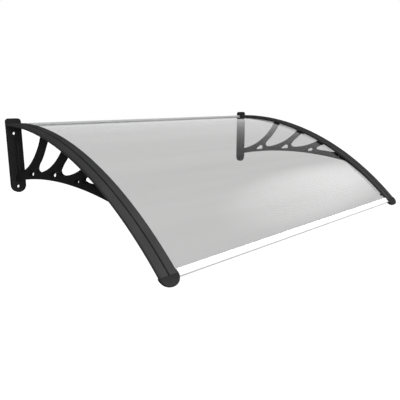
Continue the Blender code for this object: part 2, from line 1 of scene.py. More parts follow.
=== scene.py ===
"""Looks of a clear curved door canopy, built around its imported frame.

Metres, +Z up.  The wall is the plane Y = 0 and the canopy reaches out towards -Y.  Left is -X.
The sheet, press strips, gaskets and screws are worked out here with finer surfaces.  The brackets,
bars and wall seal are the frame's own solids, merged and shaded as one skin.
"""
import logging
import math
from dataclasses import dataclass, field
from enum import Enum

import bmesh
import bpy
import numpy as np
from mathutils import Matrix, Vector


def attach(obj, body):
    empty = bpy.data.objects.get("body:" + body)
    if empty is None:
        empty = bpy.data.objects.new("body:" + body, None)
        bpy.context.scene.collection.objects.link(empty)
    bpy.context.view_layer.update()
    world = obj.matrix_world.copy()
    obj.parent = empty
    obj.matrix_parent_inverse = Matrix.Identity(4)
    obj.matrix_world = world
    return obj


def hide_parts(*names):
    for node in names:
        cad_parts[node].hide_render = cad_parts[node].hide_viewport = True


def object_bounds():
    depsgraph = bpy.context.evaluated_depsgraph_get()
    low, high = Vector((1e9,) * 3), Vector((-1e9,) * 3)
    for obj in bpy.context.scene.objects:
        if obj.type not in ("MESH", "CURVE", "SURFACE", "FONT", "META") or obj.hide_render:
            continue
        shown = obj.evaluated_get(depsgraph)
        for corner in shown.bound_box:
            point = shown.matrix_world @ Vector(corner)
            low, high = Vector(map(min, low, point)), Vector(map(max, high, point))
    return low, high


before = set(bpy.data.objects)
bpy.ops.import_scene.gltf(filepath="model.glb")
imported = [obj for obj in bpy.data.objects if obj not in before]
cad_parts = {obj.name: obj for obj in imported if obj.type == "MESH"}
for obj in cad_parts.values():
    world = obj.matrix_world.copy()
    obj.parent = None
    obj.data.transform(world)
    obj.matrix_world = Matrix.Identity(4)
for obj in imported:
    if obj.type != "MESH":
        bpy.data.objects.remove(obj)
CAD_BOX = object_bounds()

LOG = logging.getLogger("door_canopy")
BODY = "root"
MM = 0.001
MICROMETRES = 1e6
WELD = 1e-7
CREASE = math.radians(32)

# Sockets of the Mix node when it mixes colours
FACTOR, COLOUR_A, COLOUR_B, COLOUR_OUT = 0, 6, 7, 2


class Side(Enum):
    """Left or right end of the canopy, as the sign of X."""

    LEFT = -1
    RIGHT = 1

    @property
    def word(self) -> str:
        """The side's name as node names use it."""
        return self.name.lower()


def linear(hex_colour: str) -> tuple[float, float, float, float]:
    """Turn an sRGB hex colour into linear RGBA.

    Args:
        hex_colour: Colour such as "#1A1B1C".

    Returns:
        Linear red, green and blue, and an alpha of one.
    """
    shares = [int(hex_colour[i:i + 2], 16) / 255 for i in (1, 3, 5)]
    channels = [s / 12.92 if s <= 0.04045 else ((s + 0.055) / 1.055) ** 2.4 for s in shares]
    return (*channels, 1.0)


def per_metre(size_mm: float) -> float:
    """Texture scale at which one cell of a pattern is `size_mm` wide."""
    return 1.0 / (size_mm * MM)


def set_node(tree: bpy.types.NodeTree, node: bpy.types.Node, settings: dict,
             links: dict) -> bpy.types.Node:
    """Give a shader node its settings and links.

    Args:
        tree: Node tree that holds the node.
        node: The node to set.
        settings: Values by property name, or by input name or number.
        links: Output sockets by input name or number.

    Returns:
        The same node.
    """
    for name, value in settings.items():
        if isinstance(name, str) and hasattr(node, name):
            setattr(node, name, value)
        else:
            node.inputs[name].default_value = value
    for name, socket in links.items():
        tree.links.new(socket, node.inputs[name])
    return node


def add_node(tree: bpy.types.NodeTree, kind: str, settings: dict | None = None,
             links: dict | None = None) -> bpy.types.Node:
    """Add a shader node with its settings and links, as `set_node` takes them."""
    return set_node(tree, tree.nodes.new(kind), settings or {}, links or {})


def new_principled(name: str) -> tuple[bpy.types.Material, bpy.types.NodeTree, bpy.types.Node]:
    """Start a material with one Principled BSDF.

    Args:
        name: Name of the material.

    Returns:
        The material, its node tree and its shader node.
    """
    material = bpy.data.materials.new(name)
    material.use_nodes = True
    return material, material.node_tree, material.node_tree.nodes["Principled BSDF"]


@dataclass(frozen=True)
class MouldedAbs:
    """ABS, injection moulded in a spark-eroded tool: near black, dull, with a fine even grain.

    The grain breaks up the sheen, slow flow clouds shift the black a little, and the eased edges
    catch a thin line of light.  The real grit is near 0.2 mm and is drawn coarser so that it shows.
    """

    name: str = "black_moulded_abs"
    deep: str = "#1D1D1E"
    pale: str = "#262627"
    roughness: float = 0.60
    specular: float = 0.004
    grit_mm: float = 1.4
    grit_height_mm: float = 0.05
    spread: float = 0.08
    cloud_mm: float = 60.0
    edge_mm: float = 0.7

    def build(self) -> bpy.types.Material:
        """Make the material."""
        material, tree, shader = new_principled(self.name)
        place = add_node(tree, "ShaderNodeTexCoord").outputs["Object"]
        clouds = add_node(tree, "ShaderNodeTexNoise",
                          {"Scale": per_metre(self.cloud_mm), "Detail": 3.0}, {"Vector": place})
        grit = add_node(tree, "ShaderNodeTexNoise",
                        {"Scale": per_metre(self.grit_mm), "Detail": 2.0, "Roughness": 0.6},
                        {"Vector": place})
        colour = add_node(tree, "ShaderNodeMix",
                          {"data_type": "RGBA", COLOUR_A: linear(self.deep),
                           COLOUR_B: linear(self.pale)}, {FACTOR: clouds.outputs[0]})
        dull = add_node(tree, "ShaderNodeMapRange",
                        {"From Min": 0.3, "From Max": 0.7, "To Min": self.roughness - self.spread,
                         "To Max": self.roughness + self.spread}, {"Value": grit.outputs[0]})
        edge = add_node(tree, "ShaderNodeBevel", {"samples": 4, "Radius": self.edge_mm * MM})
        bump = add_node(tree, "ShaderNodeBump",
                        {"Strength": 0.5, "Distance": self.grit_height_mm * MM},
                        {"Height": grit.outputs[0], "Normal": edge.outputs[0]})
        set_node(tree, shader, {"Specular IOR Level": self.specular},
                 {"Base Color": colour.outputs[COLOUR_OUT], "Roughness": dull.outputs[0],
                  "Normal": bump.outputs[0]})
        return material


@dataclass(frozen=True)
class PaintedLightAbs(MouldedAbs):
    """The same ABS against a coarser etched part of the tool, with more grain, and a shade paler:
    the paler colour is painted light.

    It stands in for the light that falls on the noses, so the noses stand out from the brackets.
    """

    name: str = "moulded_abs_painted_light"
    # Paler than the bracket ABS: painted light on the noses.
    deep: str = "#2D2D2E"
    pale: str = "#39393A"
    grit_mm: float = 2.6
    grit_height_mm: float = 0.25


@dataclass(frozen=True)
class DrawnSurface:
    """A surface drawn or extruded through a die, with fine lines along its length.

    The lines come from a noise stretched along the piece, so light breaks into thin parallel
    streaks, and slower clouds keep broad faces from looking flat.
    """

    name: str
    deep: str
    pale: str
    roughness: float
    spread: float
    line_mm: float
    line_height_mm: float
    lines_cross: tuple[bool, bool, bool]
    metallic: float = 0.0
    specular: float = 0.5
    cloud_mm: float = 90.0
    run_mm: float = 600.0

    def build(self) -> bpy.types.Material:
        """Make the material."""
        material, tree, shader = new_principled(self.name)
        place = add_node(tree, "ShaderNodeTexCoord").outputs["Object"]
        fine, slow = per_metre(self.line_mm), per_metre(self.run_mm)
        stretch = add_node(tree, "ShaderNodeMapping",
                           {"Scale": [fine if cross else slow for cross in self.lines_cross]},
                           {"Vector": place})
        lines = add_node(tree, "ShaderNodeTexNoise",
                         {"Scale": 1.0, "Detail": 3.0, "Roughness": 0.6},
                         {"Vector": stretch.outputs[0]})
        clouds = add_node(tree, "ShaderNodeTexNoise",
                          {"Scale": per_metre(self.cloud_mm), "Detail": 2.0}, {"Vector": place})
        blend = add_node(tree, "ShaderNodeMath", {"operation": "MULTIPLY_ADD", 1: 0.6},
                         {0: lines.outputs[0]})
        tree.links.new(add_node(tree, "ShaderNodeMath", {"operation": "MULTIPLY", 1: 0.4},
                                {0: clouds.outputs[0]}).outputs[0], blend.inputs[2])
        spread = add_node(tree, "ShaderNodeMapRange",
                          {"From Min": 0.35, "From Max": 0.65}, {"Value": blend.outputs[0]})
        colour = add_node(tree, "ShaderNodeMix",
                          {"data_type": "RGBA", COLOUR_A: linear(self.deep),
                           COLOUR_B: linear(self.pale)}, {FACTOR: spread.outputs[0]})
        dull = add_node(tree, "ShaderNodeMapRange",
                        {"To Min": self.roughness - self.spread,
                         "To Max": self.roughness + self.spread}, {"Value": spread.outputs[0]})
        bump = add_node(tree, "ShaderNodeBump",
                        {"Strength": 0.4, "Distance": self.line_height_mm * MM},
                        {"Height": lines.outputs[0]})
        set_node(tree, shader,
                 {"Metallic": self.metallic, "Specular IOR Level": self.specular},
                 {"Base Color": colour.outputs[COLOUR_OUT], "Roughness": dull.outputs[0],
                  "Normal": bump.outputs[0]})
        return material


@dataclass(frozen=True)
class ExtrudedPvc(DrawnSurface):
    """Black rigid PVC, extruded: dark grey-black and even, with faint die lines along the arch."""

    name: str = "black_extruded_pvc"
    deep: str = "#39393A"
    pale: str = "#49494A"
    roughness: float = 0.70
    spread: float = 0.05
    line_mm: float = 1.6
    line_height_mm: float = 0.03
    lines_cross: tuple[bool, bool, bool] = (True, False, False)
    specular: float = 0.001


@dataclass(frozen=True)
class AnodisedAluminium(DrawnSurface):
    """Clear anodised aluminium, extruded and satin etched: silver-white, streaked along the bar.

    The etched oxide scatters about half of the light and mirrors the rest softly.
    """

    name: str = "clear_anodised_aluminium"
    deep: str = "#F0F0F1"
    pale: str = "#FBFBFC"
    roughness: float = 0.36
    spread: float = 0.06
    line_mm: float = 0.9
    line_height_mm: float = 0.02
    lines_cross: tuple[bool, bool, bool] = (False, True, True)
    metallic: float = 0.55


@dataclass(frozen=True)
class ShadedAluminium(AnodisedAluminium):
    """The bar's aluminium, darker and duller: painted shade on the front bar's lower lip and on the
    rear bar, with drawing streaks along the bar.
    """

    name: str = "aluminium_painted_shade"
    # Darker than the etched bar aluminium: painted shade.
    deep: str = "#B2B3B4"
    pale: str = "#BEBFC0"
    roughness: float = 0.50


@dataclass(frozen=True)
class CuredRubber:
    """EPDM rubber, extruded and cured: deep black with no shine and a slightly pocked skin."""

    name: str = "black_epdm_rubber"
    deep: str = "#101011"
    bloom: str = "#1C1C1D"
    roughness: float = 0.85
    specular: float = 0.2
    bloom_mm: float = 25.0
    pock_mm: float = 0.8
    pock_depth_mm: float = 0.04

    def build(self) -> bpy.types.Material:
        """Make the material."""
        material, tree, shader = new_principled(self.name)
        place = add_node(tree, "ShaderNodeTexCoord").outputs["Object"]
        pocks = add_node(tree, "ShaderNodeTexVoronoi", {"Scale": per_metre(self.pock_mm)},
                         {"Vector": place})
        bloom = add_node(tree, "ShaderNodeTexNoise",
                         {"Scale": per_metre(self.bloom_mm), "Detail": 4.0}, {"Vector": place})
        colour = add_node(tree, "ShaderNodeMix",
                          {"data_type": "RGBA", COLOUR_A: linear(self.deep),
                           COLOUR_B: linear(self.bloom)}, {FACTOR: bloom.outputs[0]})
        bump = add_node(tree, "ShaderNodeBump",
                        {"Strength": 0.5, "Distance": self.pock_depth_mm * MM},
                        {"Height": pocks.outputs[0]})
        set_node(tree, shader, {"Roughness": self.roughness, "Specular IOR Level": self.specular},
                 {"Base Color": colour.outputs[COLOUR_OUT], "Normal": bump.outputs[0]})
        return material


@dataclass(frozen=True)
class ClearPolycarbonate:
    """Polycarbonate sheet, extruded and polished: see-through, with a grey tint and a soft gloss.

    It dims what lies behind it by about half, and mirrors the surroundings more towards the crown,
    where it is seen at a low angle.  Faint bands from the die run across the sheet, and a very
    slight waviness of the rollers bends the reflections.  The IOR is below polycarbonate's 1.58,
    matched to the thin veil that the sheet shows over the far bracket.
    """

    name: str = "clear_polycarbonate"
    tint: str = "#B3B3B3"
    pale_tint: str = "#C1C1C1"
    ior: float = 1.13
    roughness: float = 0.03
    wave_mm: float = 140.0
    wave_height_mm: float = 0.10
    band_mm: float = 60.0
    band_run_mm: float = 1500.0

    def build(self) -> bpy.types.Material:
        """Make the material."""
        material, tree, shader = new_principled(self.name)
        place = add_node(tree, "ShaderNodeTexCoord").outputs["Object"]
        fine, slow = per_metre(self.band_mm), per_metre(self.band_run_mm)
        stretch = add_node(tree, "ShaderNodeMapping", {"Scale": (slow, fine, fine)},
                           {"Vector": place})
        bands = add_node(tree, "ShaderNodeTexNoise", {"Scale": 1.0, "Detail": 4.0},
                         {"Vector": stretch.outputs[0]})
        waves = add_node(tree, "ShaderNodeTexNoise",
                         {"Scale": per_metre(self.wave_mm), "Detail": 1.0}, {"Vector": place})
        colour = add_node(tree, "ShaderNodeMix",
                          {"data_type": "RGBA", COLOUR_A: linear(self.tint),
                           COLOUR_B: linear(self.pale_tint)}, {FACTOR: bands.outputs[0]})
        dull = add_node(tree, "ShaderNodeMapRange",
                        {"To Min": 0.5 * self.roughness, "To Max": 1.5 * self.roughness},
                        {"Value": bands.outputs[0]})
        bump = add_node(tree, "ShaderNodeBump",
                        {"Strength": 0.3, "Distance": self.wave_height_mm * MM},
                        {"Height": waves.outputs[0]})
        set_node(tree, shader, {"Transmission Weight": 1.0, "IOR": self.ior},
                 {"Base Color": colour.outputs[COLOUR_OUT], "Roughness": dull.outputs[0],
                  "Normal": bump.outputs[0]})
        return material


@dataclass(frozen=True)
class ZincPlate:
    """Steel, cold headed and bright zinc plated: pale blue-grey metal with a soft mottled shine."""

    name: str = "zinc_plated_steel"
    deep: str = "#AEB2B8"
    pale: str = "#CDD0D4"
    roughness: float = 0.32
    spread: float = 0.1
    mottle_mm: float = 0.6

    def build(self) -> bpy.types.Material:
        """Make the material."""
        material, tree, shader = new_principled(self.name)
        place = add_node(tree, "ShaderNodeTexCoord").outputs["Object"]
        mottle = add_node(tree, "ShaderNodeTexNoise",
                          {"Scale": per_metre(self.mottle_mm), "Detail": 3.0}, {"Vector": place})
        colour = add_node(tree, "ShaderNodeMix",
                          {"data_type": "RGBA", COLOUR_A: linear(self.deep),
                           COLOUR_B: linear(self.pale)}, {FACTOR: mottle.outputs[0]})
        dull = add_node(tree, "ShaderNodeMapRange",
                        {"To Min": self.roughness - self.spread,
                         "To Max": self.roughness + self.spread}, {"Value": mottle.outputs[0]})
        set_node(tree, shader, {"Metallic": 1.0},
                 {"Base Color": colour.outputs[COLOUR_OUT], "Roughness": dull.outputs[0]})
        return material


@dataclass(frozen=True)
class Finishes:
    """Every material of the canopy, each made once and shared by its pieces."""

    bracket: bpy.types.Material = field(default_factory=lambda: MouldedAbs().build())
    # Paler ABS for the noses: painted light.
    nose: bpy.types.Material = field(default_factory=lambda: PaintedLightAbs().build())
    strip: bpy.types.Material = field(default_factory=lambda: ExtrudedPvc().build())
    bar: bpy.types.Material = field(default_factory=lambda: AnodisedAluminium().build())
    # Darker aluminium: painted shade on the front bar's lip and on the rear bar.
    shaded_bar: bpy.types.Material = field(default_factory=lambda: ShadedAluminium().build())
    rubber: bpy.types.Material = field(default_factory=lambda: CuredRubber().build())
    sheet: bpy.types.Material = field(default_factory=lambda: ClearPolycarbonate().build())
    screw: bpy.types.Material = field(default_factory=lambda: ZincPlate().build())


@dataclass(frozen=True)
class Shell:
    """Closed surface as plain arrays: its points and the faces over them."""

    points: np.ndarray
    faces: list[list[int]]


def wrapped_faces(rings: int, spokes: int) -> list[list[int]]:
    """Quads of a grid of rings whose spokes close on themselves.

    Face (r, s) joins points s and s + 1 of ring r to the same two of ring r + 1.

    Args:
        rings: Number of rings.
        spokes: Number of points on each ring.

    Returns:
        The quads as lists of point numbers.
    """
    ring, spoke = np.meshgrid(np.arange(rings - 1), np.arange(spokes), indexing="ij")
    near = ring * spokes + spoke
    after = ring * spokes + (spoke + 1) % spokes
    return np.stack([near, after, after + spokes, near + spokes], axis=-1).reshape(-1, 4).tolist()


def rounded_outline(corners: list[tuple[float, float, float]], steps: int = 4) -> np.ndarray:
    """Closed outline whose corners are arcs.

    Each corner becomes the arc of its radius that touches both of its sides.  The arc's points are
    blended between the spokes to its two ends with weights sin((1 - t) a) and sin(t a) over sin(a),
    where a is the angle of the arc and t runs from zero to one.

    Args:
        corners: Corner points with the radius of each.
        steps: Number of straight pieces in each arc.

    Returns:
        Points of the outline, in order.
    """
    table = np.array(corners)
    here, radius = table[:, :2], table[:, 2]
    before = np.roll(here, 1, axis=0) - here
    after = np.roll(here, -1, axis=0) - here
    before /= np.linalg.norm(before, axis=1, keepdims=True)
    after /= np.linalg.norm(after, axis=1, keepdims=True)
    half = np.arccos((before * after).sum(axis=1)) / 2
    middle = before + after
    middle /= np.linalg.norm(middle, axis=1, keepdims=True)
    centre = here + middle * (radius / np.sin(half))[:, None]
    reach = (radius / np.tan(half))[:, None]
    first = here + before * reach - centre
    last = here + after * reach - centre
    turn = (math.pi - 2 * half)[:, None]
    share = np.linspace(0, 1, steps + 1)[None, :]
    lead = (np.sin((1 - share) * turn) / np.sin(turn))[..., None]
    trail = (np.sin(share * turn) / np.sin(turn))[..., None]
    return (centre[:, None] + first[:, None] * lead + last[:, None] * trail).reshape(-1, 2)


def placed(points: np.ndarray, place: Matrix) -> np.ndarray:
    """Points of a local frame in world axes."""
    matrix = np.array(place)
    return points @ matrix[:3, :3].T + matrix[:3, 3]


def make_piece(name: str, shells: list[Shell]) -> bpy.types.Object:
    """Make one smooth-shaded object of closed shells, with every face outwards.

    Args:
        name: Name of the object and its mesh.
        shells: The shells, in world axes.

    Returns:
        The object, linked to the scene, at the origin.
    """
    starts = np.cumsum([0] + [len(shell.points) for shell in shells])
    faces = [[int(start) + corner for corner in face]
             for start, shell in zip(starts, shells) for face in shell.faces]
    mesh = bpy.data.meshes.new(name)
    mesh.from_pydata(np.vstack([shell.points for shell in shells]).tolist(), [], faces)
    skin = bmesh.new()
    skin.from_mesh(mesh)
    bmesh.ops.remove_doubles(skin, verts=skin.verts, dist=WELD)
    bmesh.ops.recalc_face_normals(skin, faces=skin.faces)
    skin.to_mesh(mesh)
    skin.free()
    smooth(mesh)
    piece = bpy.data.objects.new(name, mesh)
    bpy.context.scene.collection.objects.link(piece)
    return piece


def smooth(mesh: bpy.types.Mesh) -> None:
    """Shade a mesh smooth, except across its creases."""
    mesh.shade_smooth()
    mesh.set_sharp_from_angle(angle=CREASE)


def merged_copy(node: str, name: str) -> bpy.types.Object:
    """Copy a frame solid as one smooth-shaded skin.

    The solid is loose triangles.  Points that share a place become one, and triangles that lose a
    corner by that are dropped.

    Args:
        node: Name of the frame's node.
        name: Name of the new object.

    Returns:
        The new object.
    """
    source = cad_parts[node].data
    places = np.empty(len(source.vertices) * 3)
    source.vertices.foreach_get("co", places)
    places = places.reshape(-1, 3)
    corners = np.empty(len(source.loops), dtype=np.int64)
    source.loops.foreach_get("vertex_index", corners)
    _, kept, merged = np.unique(np.round(places * MICROMETRES), axis=0, return_index=True,
                                return_inverse=True)
    triangles = merged.reshape(-1)[corners].reshape(-1, 3)
    whole = (triangles != np.roll(triangles, 1, axis=1)).all(axis=1)
    return make_piece(name, [Shell(places[kept], triangles[whole].tolist())])


def dress(piece: bpy.types.Object, finish: bpy.types.Material, node: str) -> None:
    """Give a finished piece its material and its place in the frame.

    Args:
        piece: The piece, final in shape.
        finish: Its material.
        node: The frame's node that it stands for.
    """
    piece.data.materials.clear()
    piece.data.materials.append(finish)
    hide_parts(node)
    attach(piece, BODY)
    LOG.info("%s stands for %s with %d faces", piece.name, node, len(piece.data.polygons))


def second_finish(piece: bpy.types.Object, finish: bpy.types.Material, chosen: np.ndarray) -> None:
    """Give a dressed piece a second material.

    Args:
        piece: The piece, dressed.
        finish: The second material.
        chosen: Which of its faces get it.
    """
    piece.data.materials.append(finish)
    piece.data.polygons.foreach_set("material_index", chosen.astype(np.int32))


@dataclass(frozen=True)
class Arch:
    """The circle that the tops of both press strips follow, and the slope at its end."""

    span: float = 1.117
    radius: float = 1.058
    centre_out: float = 0.0363
    crown_up: float = 0.009
    wall_gap: float = 0.0123
    nose_angle: float = math.radians(43.9)

    def points(self, angle: np.ndarray, down: np.ndarray) -> tuple[np.ndarray, np.ndarray]:
        """Points of the arch: y = c - (R - d) sin a and z = top - R + (R - d) cos a.

        Args:
            angle: Angles a from the crown.
            down: Depths d below the top of the strips.

        Returns:
            The y and z of each point.
        """
        reach = self.radius - down
        return (-self.centre_out - reach * np.sin(angle),
                self.crown_up - self.radius + reach * np.cos(angle))

    def wall_angle(self, down: float) -> float:
        """Angle at which a surface `down` below the strips meets the wall plates."""
        return math.asin((self.wall_gap - self.centre_out) / (self.radius - down))

    def end_angle(self, past: float) -> float:
        """Angle of a point `past` the shoulder of the noses."""
        return self.nose_angle + past / self.radius

    def frame_at(self, angle: float, across: float) -> Matrix:
        """Frame on the arch with Z outwards, `across` being its X."""
        y, z = self.points(np.array(angle), np.array(0.0))
        return Matrix.Translation((across, float(y), float(z))) @ Matrix.Rotation(angle, 4, "X")

    def sweep(self, section: np.ndarray, start: float, end: float, step: float) -> Shell:
        """Carry a closed section of (across, down) points along the arch.

        Point (i, j) is section point j at angle i, and both ends are closed by flat faces.

        Args:
            section: Points of the section.
            start: First angle.
            end: Last angle.
            step: Largest angle between two rings.

        Returns:
            The closed shell.
        """
        angles = np.linspace(start, end, math.ceil((end - start) / step) + 1)
        y, z = self.points(angles[:, None], section[None, :, 1])
        x = np.broadcast_to(section[None, :, 0], y.shape)
        rings, spokes = y.shape
        first = list(range(spokes))
        last = [(rings - 1) * spokes + corner for corner in first]
        return Shell(np.stack([x, y, z], axis=-1).reshape(-1, 3),
                     wrapped_faces(rings, spokes) + [first[::-1], last])


@dataclass(frozen=True)
class PanScrew:
    """Thread-forming pan-head screw along its local Z, head below the seat."""

    seat: float
    tip: float
    head_radius: float = 3.3 * MM
    head_height: float = 2.8 * MM
    crest_radius: float = 1.8 * MM
    root_radius: float = 1.35 * MM
    pitch: float = 1.3 * MM
    recess_depth: float = 1.4 * MM
    recess_reach: float = 2.2 * MM
    recess_width: float = 0.55 * MM
    rim_share: float = 0.45
    dome_power: float = 0.7
    dome_rings: int = 15
    rings_per_pitch: int = 8
    spokes: int = 36

    def shell(self) -> Shell:
        """Turned surface with a domed head, a cross recess and a helical thread.

        The head is a dome, r = R sin u and z = seat - h (s + (1 - s) cos u ^ p), where s is
        `rim_share` and p is `dome_power`, sunk by the recess where a point lies close to either
        arm of the cross.  The thread is a ridge of height proportional to 1 - 2 |2 f - 1|, cut off
        below zero, where f is the fraction of z / pitch - turn.  It fades out at the seat and at
        the tip.

        Returns:
            The closed shell, in the screw's own frame.
        """
        turn = np.linspace(0, math.tau, self.spokes, endpoint=False)[None, :]
        lift = np.linspace(0, math.pi / 2, self.dome_rings)[:, None]
        dome = np.broadcast_to(self.head_radius * np.sin(lift), (self.dome_rings, self.spokes))
        bulge = (1 - self.rim_share) * np.abs(np.cos(lift)) ** self.dome_power
        crown = self.seat - self.head_height * (self.rim_share + bulge)
        arm = (turn + math.pi / 4) % (math.pi / 2) - math.pi / 4
        beside = np.abs(dome * np.sin(arm))
        along = dome * np.cos(arm)
        sunk = (np.clip((self.recess_width - beside) / (0.4 * self.recess_width), 0, 1)
                * np.clip((self.recess_reach - along) / (0.5 * self.recess_reach), 0, 1))
        head_height = crown + self.recess_depth * sunk
        count = math.ceil((self.tip - self.seat) / self.pitch * self.rings_per_pitch)
        height = np.linspace(self.seat, self.tip, count)[:, None]
        fraction = (height / self.pitch - turn / math.tau) % 1
        ridge = np.clip(1 - 2 * np.abs(2 * fraction - 1), 0, 1)
        fade = (np.clip((height - self.seat) / self.pitch, 0, 1)
                * np.clip((self.tip - height) / (2 * self.pitch), 0, 1))
        point = np.clip((self.tip - height) / self.root_radius, 0, 1)
        shaft = self.root_radius * point + (self.crest_radius - self.root_radius) * ridge * fade
        rim = np.full((1, self.spokes), self.head_radius)
        radius = np.vstack([dome, rim, shaft])
        level = np.vstack([head_height, np.full((1, self.spokes), self.seat),
                           np.broadcast_to(height, shaft.shape)])
        points = np.stack([radius * np.cos(turn), radius * np.sin(turn), level], axis=-1)
        return Shell(points.reshape(-1, 3), wrapped_faces(len(radius), self.spokes))


def pin_shell(radius: float, low: float, high: float, place: Matrix, spokes: int = 32) -> Shell:
    """Plain cylinder between two heights of a local frame, for cutting a hole.

    Args:
        radius: Its radius.
        low: Its lower end.
        high: Its upper end.
        place: The local frame.
        spokes: Number of sides.

    Returns:
        The closed shell, in world axes.
    """
    turn = np.linspace(0, math.tau, spokes, endpoint=False)
    reach = np.array([0, radius, radius, 0])[:, None]
    level = np.array([low, low, high, high])[:, None]
    points = np.stack([reach * np.cos(turn), reach * np.sin(turn),
                       np.broadcast_to(level, (4, spokes))], axis=-1).reshape(-1, 3)
    return Shell(placed(points, place), wrapped_faces(4, spokes))


@dataclass(frozen=True)
class StripScrews:
    """Where the five screws of each press strip sit, and how long they are."""

    angles_deg: tuple[float, ...] = (1.2, 10.3, 18.8, 29.5, 42.3)
    inwards: float = 13.5 * MM
    seat_down: float = 16.3 * MM
    tip_down: float = 3.0 * MM
    sheet_hole: float = 2.6 * MM

    def frames(self, arch: Arch, side: Side) -> list[Matrix]:
        """Frames on the arch above each screw of one side."""
        across = side.value * (arch.span / 2 - self.inwards)
        return [arch.frame_at(math.radians(angle), across) for angle in self.angles_deg]


@dataclass
class PressStrips:
    """The two black strips that clamp the sheet, with their gaskets and screws."""

    arch: Arch
    finishes: Finishes
    screws: StripScrews
    half_width: float = 24.65 * MM
    height: float = 8.0 * MM
    corner: float = 1.3 * MM
    crisp: float = 0.2 * MM
    groove_half: float = 2.1 * MM
    groove_floor: float = 1.95 * MM
    groove_depth: float = 5.2 * MM
    gasket_in: float = 20.0 * MM
    channel_half: float = 2.2 * MM
    channel_ceiling: float = 6.55 * MM
    gasket_half: float = 2.0 * MM
    gasket_top: float = 6.75 * MM
    gasket_foot: float = 8.15 * MM
    end_past: float = 3.3 * MM
    end_gap: float = 0.3 * MM
    step: float = math.radians(0.4)

    def strip_section(self) -> list[tuple[float, float, float]]:
        """Corners of the strip's section as (towards the sheet, down, radius)."""
        left, right = self.gasket_in - self.channel_half, self.gasket_in + self.channel_half
        crisp = self.crisp
        return [
            (-self.half_width, self.height, crisp), (left, self.height, crisp),
            (left, self.channel_ceiling, crisp), (right, self.channel_ceiling, crisp),
            (right, self.height, crisp), (self.half_width, self.height, crisp),
            (self.half_width, 0, self.corner), (self.groove_half, 0, crisp),
            (self.groove_floor, self.groove_depth, crisp),
            (-self.groove_floor, self.groove_depth, crisp), (-self.groove_half, 0, crisp),
            (-self.half_width, 0, self.corner)]

    def gasket_section(self) -> list[tuple[float, float, float]]:
        """Corners of the gasket's section, pillowed on top."""
        low, high = self.gasket_in - self.gasket_half, self.gasket_in + self.gasket_half
        soft = (self.gasket_foot - self.gasket_top) / 3
        return [(low, self.gasket_foot, soft), (high, self.gasket_foot, soft),
                (high, self.gasket_top, soft), (low, self.gasket_top, soft)]

    def placed_section(self, corners: list[tuple[float, float, float]], side: Side) -> np.ndarray:
        """Section in the world's X, mirrored to the side it is on."""
        section = rounded_outline(corners)
        section[:, 0] = side.value * (self.arch.span / 2 - section[:, 0])
        return section

    def build(self, side: Side) -> None:
        """Make the strip, gasket and screws of one side."""
        arch = self.arch
        end = arch.end_angle(self.end_past)
        strip = make_piece(f"extruded_strip_{side.word}", [arch.sweep(
            self.placed_section(self.strip_section(), side), arch.wall_angle(0.0), end, self.step)])
        dress(strip, self.finishes.strip, f"press_strip_{side.word}")
        gasket = make_piece(f"rubber_gasket_{side.word}", [arch.sweep(
            self.placed_section(self.gasket_section(), side), arch.wall_angle(0.0),
            arch.end_angle(self.end_past - self.end_gap), self.step)])
        dress(gasket, self.finishes.rubber, f"strip_gasket_{side.word}")
        screw = PanScrew(seat=-self.screws.seat_down, tip=-self.screws.tip_down).shell()
        for number, place in enumerate(self.screws.frames(arch, side), start=1):
            piece = make_piece(f"pan_screw_{side.word}_{number}",
                               [Shell(placed(screw.points, place), screw.faces)])
            dress(piece, self.finishes.screw, f"strip_screw_{side.word}_{number}")


@dataclass
class ClearSheet:
    """The curved sheet, one shell with eased edges, drilled for the strip screws."""

    arch: Arch
    finishes: Finishes
    screws: StripScrews
    inset: float = 5.0 * MM
    top: float = 8.3 * MM
    thickness: float = 3.0 * MM
    ease: float = 0.3 * MM
    strip_cover: float = 30.0 * MM
    end_past: float = 2.0 * MM
    step: float = math.radians(0.5)

    def section(self) -> np.ndarray:
        """Long thin rounded rectangle with a column of points beside each press strip."""
        edge = self.arch.span / 2 - self.inset
        inner = self.arch.span / 2 - self.strip_cover
        low = self.top + self.thickness
        outline = rounded_outline([(-edge, self.top, self.ease), (edge, self.top, self.ease),
                                   (edge, low, self.ease), (-edge, low, self.ease)])
        arc = len(outline) // 4
        return np.vstack([outline[:arc], [(-inner, self.top), (inner, self.top)],
                          outline[arc:3 * arc], [(inner, low), (-inner, low)], outline[3 * arc:]])

    def build(self) -> None:
        """Make the sheet and drill it."""
        sheet = make_piece("polycarbonate_sheet", [self.arch.sweep(
            self.section(), self.arch.wall_angle(self.top), self.arch.end_angle(self.end_past),
            self.step)])
        drill = make_piece("drill", [
            pin_shell(self.screws.sheet_hole, -2 * (self.top + self.thickness), 0.0, place)
            for side in Side for place in self.screws.frames(self.arch, side)])
        cut = sheet.modifiers.new("holes", "BOOLEAN")
        cut.operation = "DIFFERENCE"
        cut.solver = "EXACT"
        cut.object = drill
        bpy.context.view_layer.update()
        drilled = bpy.data.meshes.new_from_object(
            sheet.evaluated_get(bpy.context.evaluated_depsgraph_get()))
        sheet.modifiers.clear()
        sheet.data = drilled
        smooth(sheet.data)
        bpy.data.objects.remove(drill, do_unlink=True)
        dress(sheet, self.finishes.sheet, "clear_sheet")


